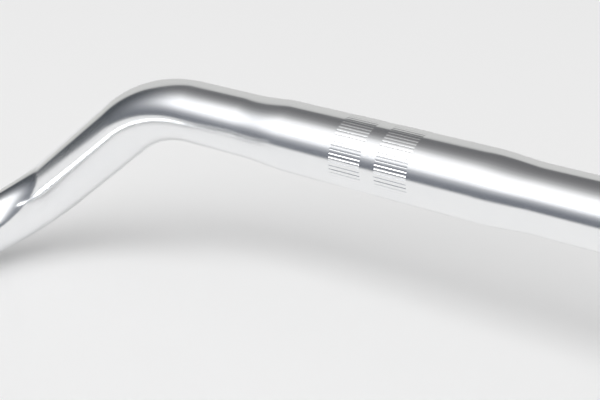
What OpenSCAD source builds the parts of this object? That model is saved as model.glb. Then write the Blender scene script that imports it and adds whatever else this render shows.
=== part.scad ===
// Bullhorn handlebar with dropped horns, bent from one aluminium tube.
// The origin is the middle of the clamp zone. X runs along the centre section, Z is up,
// and the horns point forward, along -Y. It stands on its horns, with the centre section raised.

/* [Overall] */
// Width between the centres of the two horns
width = 400; // [380:1:440]
// Height of the centre section above the horns, centre to centre
drop = 74; // [62:1:82]
// How far the middle of each open end lies ahead of the clamp's axis
reach = 196; // [185:1:230]

/* [Tube] */
// Outer diameter of the tube
tube_d = 23.8; // [22.2:0.1:25]
// Wall of the tube, the same all along it
wall = 2; // [1.2:0.1:3]
// Chamfer that breaks the inner and outer edges of the two open ends
end_chamfer = 0.4; // [0.2:0.1:0.5]

/* [Clamp zone] */
// Outer diameter of the swollen middle that the stem grips
clamp_d = 26; // [25.4:0.1:28]
// Length of the parallel part of the swollen middle
clamp_len = 80; // [60:1:90]
// Length of each swaged taper from the swollen middle down to the tube
taper_len = 21; // [12:1:26]

/* [Knurled bands] */
// Length of each of the two knurled bands
band_len = 13; // [8:0.5:20]
// Plain gap between the two bands
band_gap = 6; // [2:0.5:12]
// Number of straight grooves around each band
groove_count = 57; // [36:1:60]
// Width of a groove at the surface
groove_w = 0.5; // [0.3:0.05:0.7]
// Depth of a groove
groove_depth = 0.1; // [0.05:0.05:0.3]

/* [Bends] */
// Angle at which each side slopes down and outward
slope_angle = 39; // [35:1:48]
// Centre-line radius of the bend from the centre section into the slope
slope_bend_r = 60; // [50:1:70]
// Centre-line radius of the bend from the slope forward into the horn
corner_bend_r = 45; // [40:1:55]
// Centre-line radius of the upward bend towards the open end
tip_bend_r = 70; // [55:1:90]
// Angle at which the open ends rise
tip_angle = 30; // [20:1:40]
// Straight length behind each open end, for a lever and the end of the tape
tip_len = 56; // [45:1:70]

/* [Hidden] */
$fn = 96;

tube_r = tube_d / 2;
clamp_r = clamp_d / 2;
taper_steps = 12;

// A turn is applied with its sine and cosine at 6 decimals. Each length is turned by an angle
// beside the one asked for, whose rounded sine and cosine make the truest unit vector. The
// length then keeps its scale, and closes on the one before it.
turn_step = 1e-5;
turn_tries = 1000;
function at_6_decimals(v) = round(v * 1e6) / 1e6;
function stretch(angle) = abs(norm([at_6_decimals(sin(angle)), at_6_decimals(cos(angle))]) - 1);
function true_turn(angle) =
    let (near = [for (i = [-turn_tries : turn_tries]) angle + i * turn_step])
    let (stretches = [for (a = near) stretch(a)])
    near[search(min(stretches), stretches)[0]];

slope_turn = true_turn(slope_angle);
tip_turn = true_turn(tip_angle);

// The slope and the corner bend lie along one straight line in the front view
slope_run = (drop - slope_bend_r * (1 - cos(slope_turn))) / sin(slope_turn);
slope_len = slope_run - corner_bend_r;
centre_half = width / 2 - slope_bend_r * sin(slope_turn) - slope_run * cos(slope_turn);
horn_len = reach - corner_bend_r - tip_bend_r * sin(tip_turn) - tip_len * cos(tip_turn);
taper_start = clamp_len / 2;

// Radius of the centre section at a distance x from the middle, less an inset for its bore
function centre_r(x, inset) =
    let (t = min(max((abs(x) - taper_start) / taper_len, 0), 1))
    clamp_r + (tube_r - clamp_r) * t * t * (3 - 2 * t) - inset;

function taper_xs() = [for (i = [0 : taper_steps]) taper_start + taper_len * i / taper_steps];

// Half outline of the centre section, from one end to the other
function centre_xs() = concat(
    [-centre_half],
    [for (i = [taper_steps : -1 : 0]) -taper_xs()[i]],
    taper_xs(),
    [centre_half]);

function centre_outline(inset) = [for (x = centre_xs()) [centre_r(x, inset), x]];

function reversed(points) = [for (i = [len(points) - 1 : -1 : 0]) points[i]];

// Swollen centre section, along X, with a bore that follows its outside
module centre_tube() {
    rotate([0, 90, 0])
        rotate_extrude()
            polygon(concat(centre_outline(0), reversed(centre_outline(wall))));
}

// One knurled band starting at from_x: a V-shaped cut for each groove, the first of them facing forward
module knurl_cuts(from_x) {
    for (i = [0 : groove_count - 1])
        rotate([i * 360 / groove_count, 0, 0])
            translate([from_x, 0, 0])
                rotate([90, 0, 90])
                    linear_extrude(band_len)
                        polygon([
                            [-clamp_r - groove_depth, -groove_w],
                            [-clamp_r - groove_depth, groove_w],
                            [-clamp_r + groove_depth, 0]]);
}

module centre_section() {
    difference() {
        centre_tube();
        knurl_cuts(band_gap / 2);
        knurl_cuts(-band_gap / 2 - band_len);
    }
}

// Straight tube along X from the origin
module straight(length) {
    rotate([0, 90, 0])
        difference() {
            cylinder(r = tube_r, h = length);
            translate([0, 0, -1]) cylinder(r = tube_r - wall, h = length + 2);
        }
}

// Straight tube along X with its far edges broken
module open_end(length) {
    rotate([0, 90, 0])
        rotate_extrude()
            polygon([
                [tube_r - wall, 0],
                [tube_r, 0],
                [tube_r, length - end_chamfer],
                [tube_r - end_chamfer, length],
                [tube_r - wall + end_chamfer, length],
                [tube_r - wall, length - end_chamfer]]);
}

// Carries what follows to the far end of a bend that turns from X towards Y
module past_bend(bend_r, angle) {
    translate([0, bend_r, 0])
        rotate([0, 0, angle])
            translate([0, -bend_r, 0])
                children();
}

// Bent tube that starts along X and turns towards Y. It is turned too far and then cut back
// by the plane where the next length starts, so the two meet on that plane exactly.
module bend(bend_r, angle) {
    beyond = bend_r + tube_d;
    difference() {
        translate([0, bend_r, 0])
            rotate_extrude(start = -90, angle = 90)
                translate([bend_r, 0])
                    difference() {
                        circle(r = tube_r);
                        circle(r = tube_r - wall);
                    }
        if (angle < 90)
            past_bend(bend_r, angle)
                translate([0, -tube_d, -tube_d])
                    cube([beyond, beyond, 2 * tube_d]);
    }
}

// One side of the bar from the end of the centre section to its open end
module side() {
    translate([centre_half, 0, 0]) rotate([-90, 0, 0]) {
        bend(slope_bend_r, slope_turn);
        past_bend(slope_bend_r, slope_turn) {
            straight(slope_len);
            translate([slope_len, 0, 0]) rotate([-90, 0, 0]) {
                bend(corner_bend_r, 90);
                past_bend(corner_bend_r, 90) {
                    straight(horn_len);
                    translate([horn_len, 0, 0]) rotate([slope_turn - 90, 0, 0]) {
                        bend(tip_bend_r, tip_turn);
                        past_bend(tip_bend_r, tip_turn) open_end(tip_len);
                    }
                }
            }
        }
    }
}

module handlebar() {
    color("silver") {
        centre_section();
        side();
        mirror([1, 0, 0]) side();
    }
}

handlebar();
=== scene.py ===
import math

import bpy
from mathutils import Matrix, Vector


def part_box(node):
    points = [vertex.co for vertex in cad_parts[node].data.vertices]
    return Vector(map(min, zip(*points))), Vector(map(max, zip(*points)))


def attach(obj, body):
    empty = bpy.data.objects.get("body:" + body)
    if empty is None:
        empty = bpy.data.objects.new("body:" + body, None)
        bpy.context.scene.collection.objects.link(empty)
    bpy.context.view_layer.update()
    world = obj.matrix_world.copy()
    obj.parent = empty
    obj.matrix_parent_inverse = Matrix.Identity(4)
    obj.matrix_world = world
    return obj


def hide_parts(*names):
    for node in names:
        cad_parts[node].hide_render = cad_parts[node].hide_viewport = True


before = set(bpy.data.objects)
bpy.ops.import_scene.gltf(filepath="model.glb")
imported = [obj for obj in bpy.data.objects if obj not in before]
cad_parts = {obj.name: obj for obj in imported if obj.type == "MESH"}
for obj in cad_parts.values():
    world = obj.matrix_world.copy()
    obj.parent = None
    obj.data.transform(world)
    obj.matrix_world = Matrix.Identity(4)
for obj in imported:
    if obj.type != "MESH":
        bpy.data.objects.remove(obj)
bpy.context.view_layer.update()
print("frame loaded")

mm = 0.001


# Node tree helpers, for the geometry trees and the materials alike

def addNode(tree, nodeType, inputs=None, **settings):
    node = tree.nodes.new(nodeType)
    for name, value in settings.items():
        setattr(node, name, value)
    for socket, value in (inputs or {}).items():
        if isinstance(value, bpy.types.NodeSocket):
            tree.links.new(value, node.inputs[socket])
        else:
            node.inputs[socket].default_value = value
    return node


def doMath(tree, operation, *values):
    return addNode(tree, "ShaderNodeMath", dict(enumerate(values)), operation=operation).outputs[0]


def newMaterial(name):
    material = bpy.data.materials.new(name)
    material.use_nodes = True
    material.node_tree.nodes.clear()
    return material, material.node_tree


def newGeometryTree(name, inputs):
    tree = bpy.data.node_groups.new(name, "GeometryNodeTree")
    tree.interface.new_socket("Geometry", in_out="OUTPUT", socket_type="NodeSocketGeometry")
    tree.interface.new_socket("Geometry", in_out="INPUT", socket_type="NodeSocketGeometry")
    for socketName, socketType in inputs.items():
        tree.interface.new_socket(socketName, in_out="INPUT", socket_type="NodeSocket" + socketType)
    return tree, tree.nodes.new("NodeGroupInput").outputs, tree.nodes.new("NodeGroupOutput").inputs


def addGeometryNodes(piece, tree, values):
    modifier = piece.modifiers.new(tree.name, "NODES")
    modifier.node_group = tree
    for item in tree.interface.items_tree:
        if item.in_out == "INPUT" and item.name in values:
            modifier[item.identifier] = values[item.name]


# The bar: one aluminium tube with a swollen middle, three bends on each side and two knurled bands.
# All sizes are in millimetres and degrees, as in the part's drawing.

bar = {
    "width": 400, "drop": 74, "reach": 196,
    "tubeDiameter": 23.8, "wall": 2, "endChamfer": 0.4, "rimAngle": 60,
    "clampDiameter": 26, "clampLength": 80, "taperLength": 21, "taperRings": 16,
    "slopeAngle": 39, "slopeBendRadius": 60,
    "cornerBendRadius": 45,
    "tipAngle": 30, "tipBendRadius": 70, "tipLength": 56,
    "degreesPerRing": 2.2,
}

knurl = {
    "bandLength": 13, "bandGap": 6, "grooves": 57, "grooveWidth": 0.5, "grooveDepth": 0.1,
    "endWall": 0.01,         # how far each groove takes to reach its depth at its ends
    "pointsPerGroove": 4,    # one edge, the bottom, the other edge, and the middle of the land
    "bottomSlack": 0.05,     # a point this near a groove's bottom, in grooves, lies on it
    "sharpAngle": 18,
}


# The right half of the centre line: each point with its bend's radius and angle
def halfLine():
    slope = math.radians(bar["slopeAngle"])
    tip = math.radians(bar["tipAngle"])
    tipTangent = bar["tipBendRadius"] * math.tan(tip / 2)
    tipRun = bar["tipLength"] + tipTangent
    side = bar["width"] / 2
    tipCornerY = -bar["reach"] + tipRun * math.cos(tip)

    bandStart = knurl["bandGap"] / 2
    bandEnd = bandStart + knurl["bandLength"]
    taperStart = bar["clampLength"] / 2
    straight = [bandStart - knurl["endWall"], bandStart, bandEnd, bandEnd + knurl["endWall"]]
    straight += [taperStart + bar["taperLength"] * i / bar["taperRings"]
                 for i in range(bar["taperRings"] + 1)]
    return [((x, 0, 0), 0, 0) for x in straight] + [
        ((side - bar["drop"] / math.tan(slope), 0, 0), bar["slopeBendRadius"], bar["slopeAngle"]),
        ((side, 0, -bar["drop"]), bar["cornerBendRadius"], 90),
        ((side, tipCornerY, -bar["drop"]), bar["tipBendRadius"], bar["tipAngle"]),
        ((side, -bar["reach"], -bar["drop"] + tipRun * math.sin(tip)), 0, 0),
    ]


def makeCentreLine():
    right = halfLine()
    left = [((-x, y, z), radius, angle) for (x, y, z), radius, angle in reversed(right)]
    line = left + right
    mesh = bpy.data.meshes.new("handlebarTube")
    mesh.from_pydata([[v * mm for v in point] for point, radius, angle in line],
                     [(i, i + 1) for i in range(len(line) - 1)], [])
    bendRadius = mesh.attributes.new("bendRadius", "FLOAT", "POINT")
    bendRings = mesh.attributes.new("bendRings", "INT", "POINT")
    for i, (point, radius, angle) in enumerate(line):
        bendRadius.data[i].value = radius * mm
        bendRings.data[i].value = round(angle / bar["degreesPerRing"])
    return mesh


def named(tree, name, kind):
    node = addNode(tree, "GeometryNodeInputNamedAttribute", {"Name": name}, data_type=kind)
    return node.outputs["Attribute"]


def store(tree, geometry, name, kind, value):
    return addNode(tree, "GeometryNodeStoreNamedAttribute", {
        "Geometry": geometry, "Name": name, "Value": value}, data_type=kind, domain="POINT").outputs[0]


def sweepTree():
    tree, given, result = newGeometryTree("sweptTube", {
        "Tube Radius": "Float", "Clamp Radius": "Float", "Clamp Length": "Float", "Taper Length": "Float",
        "Grooves": "Int", "Groove Width": "Float", "Material": "Material"})

    line = addNode(tree, "GeometryNodeMeshToCurve", {"Mesh": given["Geometry"]})
    bent = addNode(tree, "GeometryNodeFilletCurve", {
        "Curve": line.outputs[0], "Count": named(tree, "bendRings", "INT"),
        "Radius": named(tree, "bendRadius", "FLOAT")}, mode="POLY")
    # alongTube and roundTube stay on the mesh, so a finish can run along the tube through its bends
    along = addNode(tree, "GeometryNodeSplineParameter").outputs["Length"]
    marked = store(tree, bent.outputs[0], "alongTube", "FLOAT", along)

    # Radius along the bar: full over the clamp zone, then a smooth taper down to the tube
    place = addNode(tree, "ShaderNodeSeparateXYZ", {0: addNode(tree, "GeometryNodeInputPosition").outputs[0]})
    sideways = doMath(tree, "ABSOLUTE", place.outputs["X"])
    taperStart = doMath(tree, "DIVIDE", given["Clamp Length"], 2.0)
    taperEnd = doMath(tree, "ADD", taperStart, given["Taper Length"])
    radius = addNode(tree, "ShaderNodeMapRange", {
        "Value": sideways, "From Min": taperStart, "From Max": taperEnd,
        "To Min": given["Clamp Radius"], "To Max": given["Tube Radius"]}, interpolation_type="SMOOTHSTEP")

    # Round profile whose points lie on the edges and the bottoms of the grooves
    perGroove = float(knurl["pointsPerGroove"])
    index = addNode(tree, "GeometryNodeInputIndex").outputs[0]
    groove = doMath(tree, "FLOOR", doMath(tree, "DIVIDE", index, perGroove))
    step = doMath(tree, "SUBTRACT", index, doMath(tree, "MULTIPLY", groove, perGroove))
    pitch = doMath(tree, "DIVIDE", 2 * math.pi, given["Grooves"])
    halfGroove = doMath(tree, "DIVIDE", given["Groove Width"], 2.0)
    halfWidth = doMath(tree, "DIVIDE", halfGroove, given["Clamp Radius"])
    onLand = doMath(tree, "GREATER_THAN", step, perGroove - 1.5)
    offset = addNode(tree, "ShaderNodeMix", {
        "Factor": onLand, "A": doMath(tree, "MULTIPLY", doMath(tree, "SUBTRACT", step, 1.0), halfWidth),
        "B": doMath(tree, "DIVIDE", pitch, 2.0)})
    angle = doMath(tree, "ADD", doMath(tree, "MULTIPLY", groove, pitch), offset.outputs["Result"])
    circlePoint = addNode(tree, "ShaderNodeCombineXYZ", {
        "X": doMath(tree, "COSINE", angle), "Y": doMath(tree, "SINE", angle)})
    pointCount = doMath(tree, "MULTIPLY", given["Grooves"], perGroove)
    circle = addNode(tree, "GeometryNodeCurvePrimitiveCircle", {"Resolution": pointCount, "Radius": 1.0})
    profile = addNode(tree, "GeometryNodeSetPosition", {
        "Geometry": circle.outputs[0], "Position": circlePoint.outputs[0]})
    markedProfile = store(tree, profile.outputs[0], "roundTube", "FLOAT_VECTOR", circlePoint.outputs[0])

    tube = addNode(tree, "GeometryNodeCurveToMesh", {
        "Curve": marked, "Profile Curve": markedProfile, "Scale": radius.outputs[0]})
    whole = addNode(tree, "GeometryNodeRealizeInstances", {"Geometry": tube.outputs[0]})
    finished = addNode(tree, "GeometryNodeSetMaterial", {
        "Geometry": whole.outputs[0], "Material": given["Material"]})
    tree.links.new(finished.outputs[0], result[0])
    return tree


def knurlTree():
    tree, given, result = newGeometryTree("knurledBands", {
        "Clamp Radius": "Float", "Band Gap": "Float", "Band Length": "Float", "Slack": "Float",
        "Grooves": "Int", "Groove Depth": "Float", "Sharp Angle": "Float", "Bore Material": "Material"})

    place = addNode(tree, "ShaderNodeSeparateXYZ", {0: addNode(tree, "GeometryNodeInputPosition").outputs[0]})
    across = addNode(tree, "ShaderNodeCombineXYZ", {
        "Y": place.outputs["Y"], "Z": place.outputs["Z"]}).outputs[0]
    fromAxis = addNode(tree, "ShaderNodeVectorMath", {0: across}, operation="LENGTH").outputs["Value"]
    onSkin = doMath(tree, "LESS_THAN", doMath(tree, "ABSOLUTE", doMath(
        tree, "SUBTRACT", fromAxis, given["Clamp Radius"])), given["Slack"])

    sideways = doMath(tree, "ABSOLUTE", place.outputs["X"])
    halfBand = doMath(tree, "DIVIDE", given["Band Length"], 2.0)
    bandMiddle = doMath(tree, "ADD", doMath(tree, "DIVIDE", given["Band Gap"], 2.0), halfBand)
    inBand = doMath(tree, "LESS_THAN", doMath(tree, "ABSOLUTE", doMath(
        tree, "SUBTRACT", sideways, bandMiddle)), doMath(tree, "ADD", halfBand, given["Slack"]))

    # The first groove faces forward, along -Y
    forward = doMath(tree, "MULTIPLY", place.outputs["Y"], -1.0)
    turns = doMath(tree, "DIVIDE", doMath(tree, "ARCTAN2", place.outputs["Z"], forward), 2 * math.pi)
    grooveTurns = doMath(tree, "MULTIPLY", turns, given["Grooves"])
    nearest = doMath(tree, "ROUND", grooveTurns)
    fromBottom = doMath(tree, "ABSOLUTE", doMath(tree, "SUBTRACT", grooveTurns, nearest))
    alongBottom = doMath(tree, "LESS_THAN", fromBottom, knurl["bottomSlack"])

    cut = doMath(tree, "MULTIPLY", doMath(tree, "MULTIPLY", onSkin, inBand), alongBottom)
    outward = addNode(tree, "ShaderNodeVectorMath", {0: across}, operation="NORMALIZE").outputs[0]
    depth = doMath(tree, "MULTIPLY", given["Groove Depth"], -1.0)
    offset = addNode(tree, "ShaderNodeVectorMath", {0: outward, "Scale": depth}, operation="SCALE").outputs[0]
    marked = store(tree, given["Geometry"], "groove", "FLOAT", cut)
    atBottom = doMath(tree, "GREATER_THAN", named(tree, "groove", "FLOAT"), 0.5)
    cutTube = addNode(tree, "GeometryNodeSetPosition", {
        "Geometry": marked, "Selection": atBottom, "Offset": offset})

    smoothFaces = addNode(tree, "GeometryNodeSetShadeSmooth", {
        "Geometry": cutTube.outputs[0], "Shade Smooth": True}, domain="FACE")
    sharp = doMath(tree, "GREATER_THAN", addNode(
        tree, "GeometryNodeInputMeshEdgeAngle").outputs[0], given["Sharp Angle"])
    crispEdges = addNode(tree, "GeometryNodeSetShadeSmooth", {
        "Geometry": smoothFaces.outputs[0], "Selection": sharp, "Shade Smooth": False}, domain="EDGE")
    whole = addNode(tree, "GeometryNodeRealizeInstances", {"Geometry": crispEdges.outputs[0]})
    # The wall modifier has numbered the bore's faces 1
    inBore = doMath(tree, "GREATER_THAN", named(tree, "material_index", "INT"), 0.5)
    finished = addNode(tree, "GeometryNodeSetMaterial", {
        "Geometry": whole.outputs[0], "Selection": inBore, "Material": given["Bore Material"]})
    tree.links.new(finished.outputs[0], result[0])
    return tree


def makeHandlebar(material, boreMaterial):
    source = bpy.data.objects.new("handlebarTube", makeCentreLine())
    bpy.context.scene.collection.objects.link(source)
    source.data.materials.append(material)
    source.data.materials.append(boreMaterial)
    addGeometryNodes(source, sweepTree(), {
        "Tube Radius": bar["tubeDiameter"] / 2 * mm, "Clamp Radius": bar["clampDiameter"] / 2 * mm,
        "Clamp Length": bar["clampLength"] * mm, "Taper Length": bar["taperLength"] * mm,
        "Grooves": knurl["grooves"], "Groove Width": knurl["grooveWidth"] * mm, "Material": material})
    wall = source.modifiers.new("wall", "SOLIDIFY")
    wall.thickness = bar["wall"] * mm
    wall.offset = -1
    wall.use_even_offset = True
    wall.material_offset = 1
    rim = source.modifiers.new("rim", "BEVEL")
    rim.width = bar["endChamfer"] * mm
    rim.segments = 1
    rim.limit_method = "ANGLE"
    rim.angle_limit = math.radians(bar["rimAngle"])
    addGeometryNodes(source, knurlTree(), {
        "Clamp Radius": bar["clampDiameter"] / 2 * mm, "Band Gap": knurl["bandGap"] * mm,
        "Band Length": knurl["bandLength"] * mm, "Slack": knurl["endWall"] / 2 * mm,
        "Grooves": knurl["grooves"], "Groove Depth": knurl["grooveDepth"] * mm,
        "Sharp Angle": math.radians(knurl["sharpAngle"]), "Bore Material": boreMaterial})

    evaluated = source.evaluated_get(bpy.context.evaluated_depsgraph_get())
    mesh = bpy.data.meshes.new_from_object(evaluated)
    piece = bpy.data.objects.new("polishedTube", mesh)
    bpy.context.scene.collection.objects.link(piece)
    bpy.data.objects.remove(source)
    return piece


# Aluminium, polished and clear anodised outside, and as it was drawn inside.
# The grain runs along the tube. Lengths here are metres, and scales count per metre.

aluminium = {
    "colour": (0.945, 0.950, 0.955, 1), "cloudColour": (0.925, 0.932, 0.942, 1),
    "roughness": 0.135, "smudge": 0.035, "streak": 0.03,
    "grainHeight": 1.1e-6,
    "rippleHeight": 2.0e-6, "ripplesPerMetre": 150,
    "pitDepth": 6e-6, "pitsPerMetre": 260, "pitSize": 0.05,
    "grooveRoughness": 0.24, "grooveEdge": (0.02, 0.25),   # where the groove mark fades in
}

rawAluminium = {
    "colour": (0.74, 0.75, 0.76, 1), "cloudColour": (0.60, 0.61, 0.63, 1),
    "metallic": 0.5,   # the dull oxide scatters the rest
    "roughness": 0.38, "streakRoughness": 0.16,
    "grainHeight": 6e-6, "streaksPerMetre": 500, "stretch": 60,
}

grainContrast = (0.3, 0.7)   # the part of the noise that is spread over 0 to 1


def newShaderGroup(name, inputs, outputs):
    tree = bpy.data.node_groups.new(name, "ShaderNodeTree")
    for socketName, value in inputs.items():
        socket = tree.interface.new_socket(socketName, in_out="INPUT", socket_type="NodeSocketFloat")
        socket.default_value = value
    for socketName in outputs:
        tree.interface.new_socket(socketName, in_out="OUTPUT", socket_type="NodeSocketFloat")
    return tree, tree.nodes.new("NodeGroupInput").outputs, tree.nodes.new("NodeGroupOutput").inputs


# Streaks that run along the tube, round its bends too, and soft clouds. Each goes from 0 to 1.
def drawnGrainGroup():
    tree, given, result = newShaderGroup(
        "drawnGrain", {"Streaks Per Metre": 900.0, "Stretch": 30.0, "Clouds Per Metre": 45.0},
        ("Streaks", "Clouds"))
    along = addNode(tree, "ShaderNodeAttribute", attribute_name="alongTube").outputs["Fac"]
    around = addNode(tree, "ShaderNodeSeparateXYZ", {
        0: addNode(tree, "ShaderNodeAttribute", attribute_name="roundTube").outputs["Vector"]})
    radius = bar["tubeDiameter"] / 2 * mm
    across = [doMath(tree, "MULTIPLY", around.outputs[axis], radius) for axis in ("X", "Y")]

    drawn = addNode(tree, "ShaderNodeCombineXYZ", {
        0: doMath(tree, "DIVIDE", along, given["Stretch"]), 1: across[0], 2: across[1]})
    streaks = addNode(tree, "ShaderNodeTexNoise", {
        "Vector": drawn.outputs[0], "Scale": given["Streaks Per Metre"], "Detail": 3.0, "Roughness": 0.6})
    unbent = addNode(tree, "ShaderNodeCombineXYZ", {0: along, 1: across[0], 2: across[1]})
    clouds = addNode(tree, "ShaderNodeTexNoise", {
        "Vector": unbent.outputs[0], "Scale": given["Clouds Per Metre"], "Detail": 4.0, "Roughness": 0.55,
        "Distortion": 0.6})
    for name, noise in (("Streaks", streaks), ("Clouds", clouds)):
        tree.links.new(addNode(tree, "ShaderNodeMapRange", {
            "Value": noise.outputs[0], "From Min": grainContrast[0], "From Max": grainContrast[1]
        }).outputs[0], result[name])
    return tree


def makeAluminium(grain):
    material, tree = newMaterial("polishedAluminium")
    marks = addNode(tree, "ShaderNodeGroup", node_tree=grain)
    place = addNode(tree, "ShaderNodeTexCoord").outputs["Object"]
    edge = aluminium["grooveEdge"]
    groove = addNode(tree, "ShaderNodeMapRange", {
        "Value": addNode(tree, "ShaderNodeAttribute", attribute_name="groove").outputs["Fac"],
        "From Min": edge[0], "From Max": edge[1]})

    colour = addNode(tree, "ShaderNodeMix", {
        "Factor": marks.outputs["Clouds"], 6: aluminium["colour"], 7: aluminium["cloudColour"]},
        data_type="RGBA")

    smudge = doMath(tree, "MULTIPLY", marks.outputs["Clouds"], aluminium["smudge"])
    streak = doMath(tree, "MULTIPLY", marks.outputs["Streaks"], aluminium["streak"])
    polish = doMath(tree, "ADD", doMath(tree, "ADD", smudge, streak), aluminium["roughness"])
    roughness = addNode(tree, "ShaderNodeMix", {
        "Factor": groove.outputs[0], "A": polish, "B": aluminium["grooveRoughness"]})

    # Fine grain, a slow ripple from the polishing wheel and a few tiny pits
    ripple = addNode(tree, "ShaderNodeTexNoise", {
        "Vector": place, "Scale": aluminium["ripplesPerMetre"], "Detail": 1.0}).outputs[0]
    pits = addNode(tree, "ShaderNodeTexVoronoi", {"Vector": place, "Scale": aluminium["pitsPerMetre"]})
    pit = addNode(tree, "ShaderNodeMapRange", {
        "Value": pits.outputs["Distance"], "From Min": aluminium["pitSize"], "From Max": 0.0})
    height = doMath(tree, "MULTIPLY", marks.outputs["Streaks"], aluminium["grainHeight"])
    height = doMath(tree, "ADD", height, doMath(tree, "MULTIPLY", ripple, aluminium["rippleHeight"]))
    height = doMath(tree, "SUBTRACT", height, doMath(tree, "MULTIPLY", pit.outputs[0], aluminium["pitDepth"]))
    bump = addNode(tree, "ShaderNodeBump", {"Height": height, "Strength": 1.0, "Distance": 1.0})

    shader = addNode(tree, "ShaderNodeBsdfPrincipled", {
        "Base Color": colour.outputs[2], "Metallic": 1.0, "Roughness": roughness.outputs[0],
        "Normal": bump.outputs[0]})
    addNode(tree, "ShaderNodeOutputMaterial", {"Surface": shader.outputs[0]})
    return material


def makeRawAluminium(grain):
    material, tree = newMaterial("drawnAluminium")
    marks = addNode(tree, "ShaderNodeGroup", {
        "Streaks Per Metre": rawAluminium["streaksPerMetre"], "Stretch": rawAluminium["stretch"]},
        node_tree=grain)
    colour = addNode(tree, "ShaderNodeMix", {
        "Factor": marks.outputs["Clouds"], 6: rawAluminium["colour"], 7: rawAluminium["cloudColour"]},
        data_type="RGBA")
    streak = doMath(tree, "MULTIPLY", marks.outputs["Streaks"], rawAluminium["streakRoughness"])
    roughness = doMath(tree, "ADD", streak, rawAluminium["roughness"])
    height = doMath(tree, "MULTIPLY", marks.outputs["Streaks"], rawAluminium["grainHeight"])
    bump = addNode(tree, "ShaderNodeBump", {"Height": height, "Strength": 1.0, "Distance": 1.0})
    shader = addNode(tree, "ShaderNodeBsdfPrincipled", {
        "Base Color": colour.outputs[2], "Metallic": rawAluminium["metallic"], "Roughness": roughness,
        "Normal": bump.outputs[0]})
    addNode(tree, "ShaderNodeOutputMaterial", {"Surface": shader.outputs[0]})
    return material


# Stage. Polished metal shows what it mirrors, so the softbox and the room are set for its reflections.

stage = {
    "floorColour": (0.88, 0.88, 0.88, 1), "floorRoughness": 0.9, "floorSize": 40,
    "tableFront": -235, "tableSkew": 0.125,   # where the table's front crosses the YZ plane, and its slope
    "sky": 0.80, "fill": 0.535,
}

room = {
    "walls": (0.050, 0.058, 0.068, 1),
    # Each patch has a colour and one or two sides. A side has the azimuth and elevation that it
    # faces, and the cosines to them where the patch starts and where it is full.
    "patches": [
        ((0.125, 0.138, 0.165, 1), [(150, 20, -0.35, 0.40)]),    # the room in front
        ((0.150, 0.150, 0.155, 1), [(0, 90, 0.40, 0.85)]),       # the ceiling
        ((0.620, 0.620, 0.610, 1),                               # the paper backdrop
         [(-34, -49, -0.05, 0.05), (1.6, -18.9, -0.06, 0.06)]),
    ],
}

# The card's lengths are in millimetres and the lamp's in metres. The glow is even as far as halfWidth
# to each side and as far as below, and fades out beyond over about spread. The core is the
# over-exposed middle, and haloLimit keeps the rest under full white.
softbox = {
    "azimuth": -155.8, "elevation": 39.7, "cardDistance": 632, "cardSize": 4400, "cardShift": 400,
    "glow": 1.2, "haloLimit": 0.91, "halfWidth": 630, "below": 130, "aboveScale": 0.66,
    "spread": 185, "falloff": 2.75, "core": 3.6, "coreEdge": 30,
    "lampAzimuth": 175, "lampElevation": 37.7,
    "lampDistance": 12, "lampWidth": 16, "lampHeight": 5.4, "lampPower": 1320,
}


# Azimuth turns from the bar's back, +Y, towards +X
def direction(azimuth, elevation):
    a, e = math.radians(azimuth), math.radians(elevation)
    return Vector((math.sin(a) * math.cos(e), math.cos(a) * math.cos(e), math.sin(e)))


def addSheet(name, size, material):
    half = size / 2
    mesh = bpy.data.meshes.new(name)
    corners = [(-half, -half, 0), (half, -half, 0), (half, half, 0), (-half, half, 0)]
    mesh.from_pydata(corners, [], [(0, 1, 2, 3)])
    mesh.materials.append(material)
    sheet = bpy.data.objects.new(name, mesh)
    bpy.context.scene.collection.objects.link(sheet)
    return sheet


# The floor ends at the table's front for reflections only, as the real table does
def makeFloor():
    material, tree = newMaterial("palePaper")
    place = addNode(tree, "ShaderNodeSeparateXYZ", {0: addNode(tree, "ShaderNodeTexCoord").outputs["Object"]})
    paper = addNode(tree, "ShaderNodeBsdfPrincipled", {
        "Base Color": stage["floorColour"], "Roughness": stage["floorRoughness"],
        "Specular IOR Level": 0.0})
    front = doMath(tree, "MULTIPLY_ADD", place.outputs["X"], stage["tableSkew"], stage["tableFront"] * mm)
    beyondTable = doMath(tree, "LESS_THAN", place.outputs["Y"], front)
    mirrored = addNode(tree, "ShaderNodeLightPath").outputs["Is Glossy Ray"]
    clear = addNode(tree, "ShaderNodeBsdfTransparent")
    mixed = addNode(tree, "ShaderNodeMixShader", {
        0: doMath(tree, "MULTIPLY", beyondTable, mirrored), 1: paper.outputs[0], 2: clear.outputs[0]})
    addNode(tree, "ShaderNodeOutputMaterial", {"Surface": mixed.outputs[0]})
    floor = addSheet("floor", stage["floorSize"], material)
    floor.location.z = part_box("handlebar")[0][2]


# The lamp lights the floor and casts the shadow
def makeLamp():
    light = bpy.data.lights.new("softboxLamp", "AREA")
    light.shape = "RECTANGLE"
    light.size = softbox["lampWidth"]
    light.size_y = softbox["lampHeight"]
    light.energy = softbox["lampPower"]
    lamp = bpy.data.objects.new("softboxLamp", light)
    bpy.context.scene.collection.objects.link(lamp)
    lampSide = direction(softbox["lampAzimuth"], softbox["lampElevation"])
    lamp.location = lampSide * softbox["lampDistance"]
    lamp.rotation_euler = lampSide.to_track_quat("Z", "Y").to_euler()
    lamp.visible_glossy = False
    lamp.visible_camera = False


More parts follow.
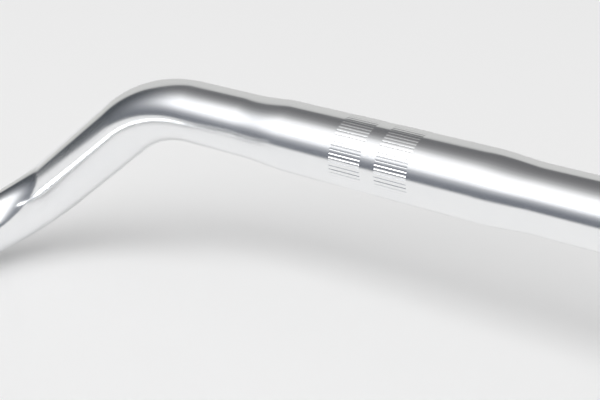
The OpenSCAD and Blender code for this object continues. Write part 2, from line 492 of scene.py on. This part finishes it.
# The card is the same softbox as the metal mirrors it
def makeSoftbox():
    material, tree = newMaterial("softboxGlow")
    place = addNode(tree, "ShaderNodeSeparateXYZ", {0: addNode(tree, "ShaderNodeTexCoord").outputs["Object"]})
    # The light fades out softly past its edges, more slowly upwards
    fromMiddle = doMath(tree, "ABSOLUTE", place.outputs["X"])
    beside = doMath(tree, "SUBTRACT", fromMiddle, softbox["halfWidth"] * mm)
    downwards = doMath(tree, "MULTIPLY", place.outputs["Y"], -1.0)
    under = doMath(tree, "SUBTRACT", downwards, softbox["below"] * mm)
    over = doMath(tree, "MULTIPLY", place.outputs["Y"], softbox["aboveScale"])
    past = addNode(tree, "ShaderNodeCombineXYZ", {
        0: doMath(tree, "MAXIMUM", beside, 0.0),
        1: doMath(tree, "MAXIMUM", doMath(tree, "MAXIMUM", under, over), 0.0)})
    outside = addNode(tree, "ShaderNodeVectorMath", {0: past.outputs[0]}, operation="LENGTH").outputs["Value"]
    fade = doMath(tree, "POWER", doMath(tree, "DIVIDE", outside, softbox["spread"] * mm), softbox["falloff"])
    halo = doMath(tree, "DIVIDE", softbox["glow"], doMath(tree, "ADD", fade, 1.0))
    core = addNode(tree, "ShaderNodeMapRange", {
        "Value": outside, "From Min": softbox["coreEdge"] * mm, "From Max": 0.0, "To Max": softbox["core"]},
        interpolation_type="SMOOTHSTEP")
    glow = doMath(tree, "ADD", doMath(tree, "MINIMUM", halo, softbox["haloLimit"]), core.outputs[0])
    white = addNode(tree, "ShaderNodeEmission", {"Color": (1, 1, 1, 1), "Strength": glow})
    both = addNode(tree, "ShaderNodeAddShader", {
        0: white.outputs[0], 1: addNode(tree, "ShaderNodeBsdfTransparent").outputs[0]})
    addNode(tree, "ShaderNodeOutputMaterial", {"Surface": both.outputs[0]})
    card = addSheet("softboxCard", softbox["cardSize"] * mm, material)
    towards = direction(softbox["azimuth"], softbox["elevation"])
    sideways = Vector((0, 0, 1)).cross(towards).normalized()
    card.location = (towards * softbox["cardDistance"] + sideways * softbox["cardShift"]) * mm
    card.rotation_euler = towards.to_track_quat("Z", "Y").to_euler()
    for ray in ("camera", "diffuse", "transmission", "volume_scatter", "shadow"):
        setattr(card, "visible_" + ray, False)


# A pale sky for the camera, a plain fill for the floor, and a dim room with a backdrop for reflections
def makeWorld():
    world = bpy.data.worlds.new("studio")
    bpy.context.scene.world = world
    world.use_nodes = True
    tree = world.node_tree
    tree.nodes.clear()
    path = addNode(tree, "ShaderNodeLightPath")
    rayDirection = addNode(tree, "ShaderNodeTexCoord").outputs["Generated"]
    mirrored = room["walls"]
    for colour, sides in room["patches"]:
        amount = 1.0
        for azimuth, elevation, starts, full in sides:
            facing = addNode(tree, "ShaderNodeVectorMath", {
                0: rayDirection, 1: direction(azimuth, elevation)}, operation="DOT_PRODUCT").outputs["Value"]
            side = addNode(tree, "ShaderNodeMapRange", {
                "Value": facing, "From Min": starts, "From Max": full},
                interpolation_type="SMOOTHSTEP").outputs[0]
            amount = doMath(tree, "MULTIPLY", side, amount)
        mirrored = addNode(tree, "ShaderNodeMix", {
            "Factor": amount, 6: mirrored, 7: colour}, data_type="RGBA").outputs[2]
    reflected = addNode(tree, "ShaderNodeBackground", {"Color": mirrored, "Strength": 1.0})
    seen = addNode(tree, "ShaderNodeBackground", {"Color": (1, 1, 1, 1), "Strength": stage["sky"]})
    fill = addNode(tree, "ShaderNodeBackground", {"Color": (1, 1, 1, 1), "Strength": stage["fill"]})
    unseen = addNode(tree, "ShaderNodeMixShader", {
        0: path.outputs["Is Glossy Ray"], 1: fill.outputs[0], 2: reflected.outputs[0]})
    final = addNode(tree, "ShaderNodeMixShader", {
        0: path.outputs["Is Camera Ray"], 1: unseen.outputs[0], 2: seen.outputs[0]})
    addNode(tree, "ShaderNodeOutputWorld", {"Surface": final.outputs[0]})


view = {
    "place": (257.95, -386.49, 169.37), "turn": 37.46, "dip": 21.66,
    "lens": 85.59, "sensor": 36, "nearest": 10,
}


def makeCamera():
    data = bpy.data.cameras.new("photoView")
    data.sensor_width = view["sensor"]
    data.lens = view["lens"]
    data.clip_start = view["nearest"] * mm
    camera = bpy.data.objects.new("photoView", data)
    bpy.context.scene.collection.objects.link(camera)
    camera.location = [v * mm for v in view["place"]]
    camera.rotation_euler = (math.radians(90 - view["dip"]), 0, math.radians(view["turn"]))
    bpy.context.scene.camera = camera


makeCamera()
print("camera placed")
drawnGrain = drawnGrainGroup()
handlebar = makeHandlebar(makeAluminium(drawnGrain), makeRawAluminium(drawnGrain))
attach(handlebar, "root")
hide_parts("handlebar")
print("handlebar made:", len(handlebar.data.vertices), "vertices,", len(handlebar.data.polygons), "faces")
makeFloor()
makeLamp()
makeSoftbox()
makeWorld()
bpy.context.scene.view_settings.view_transform = "Standard"
print("stage set")
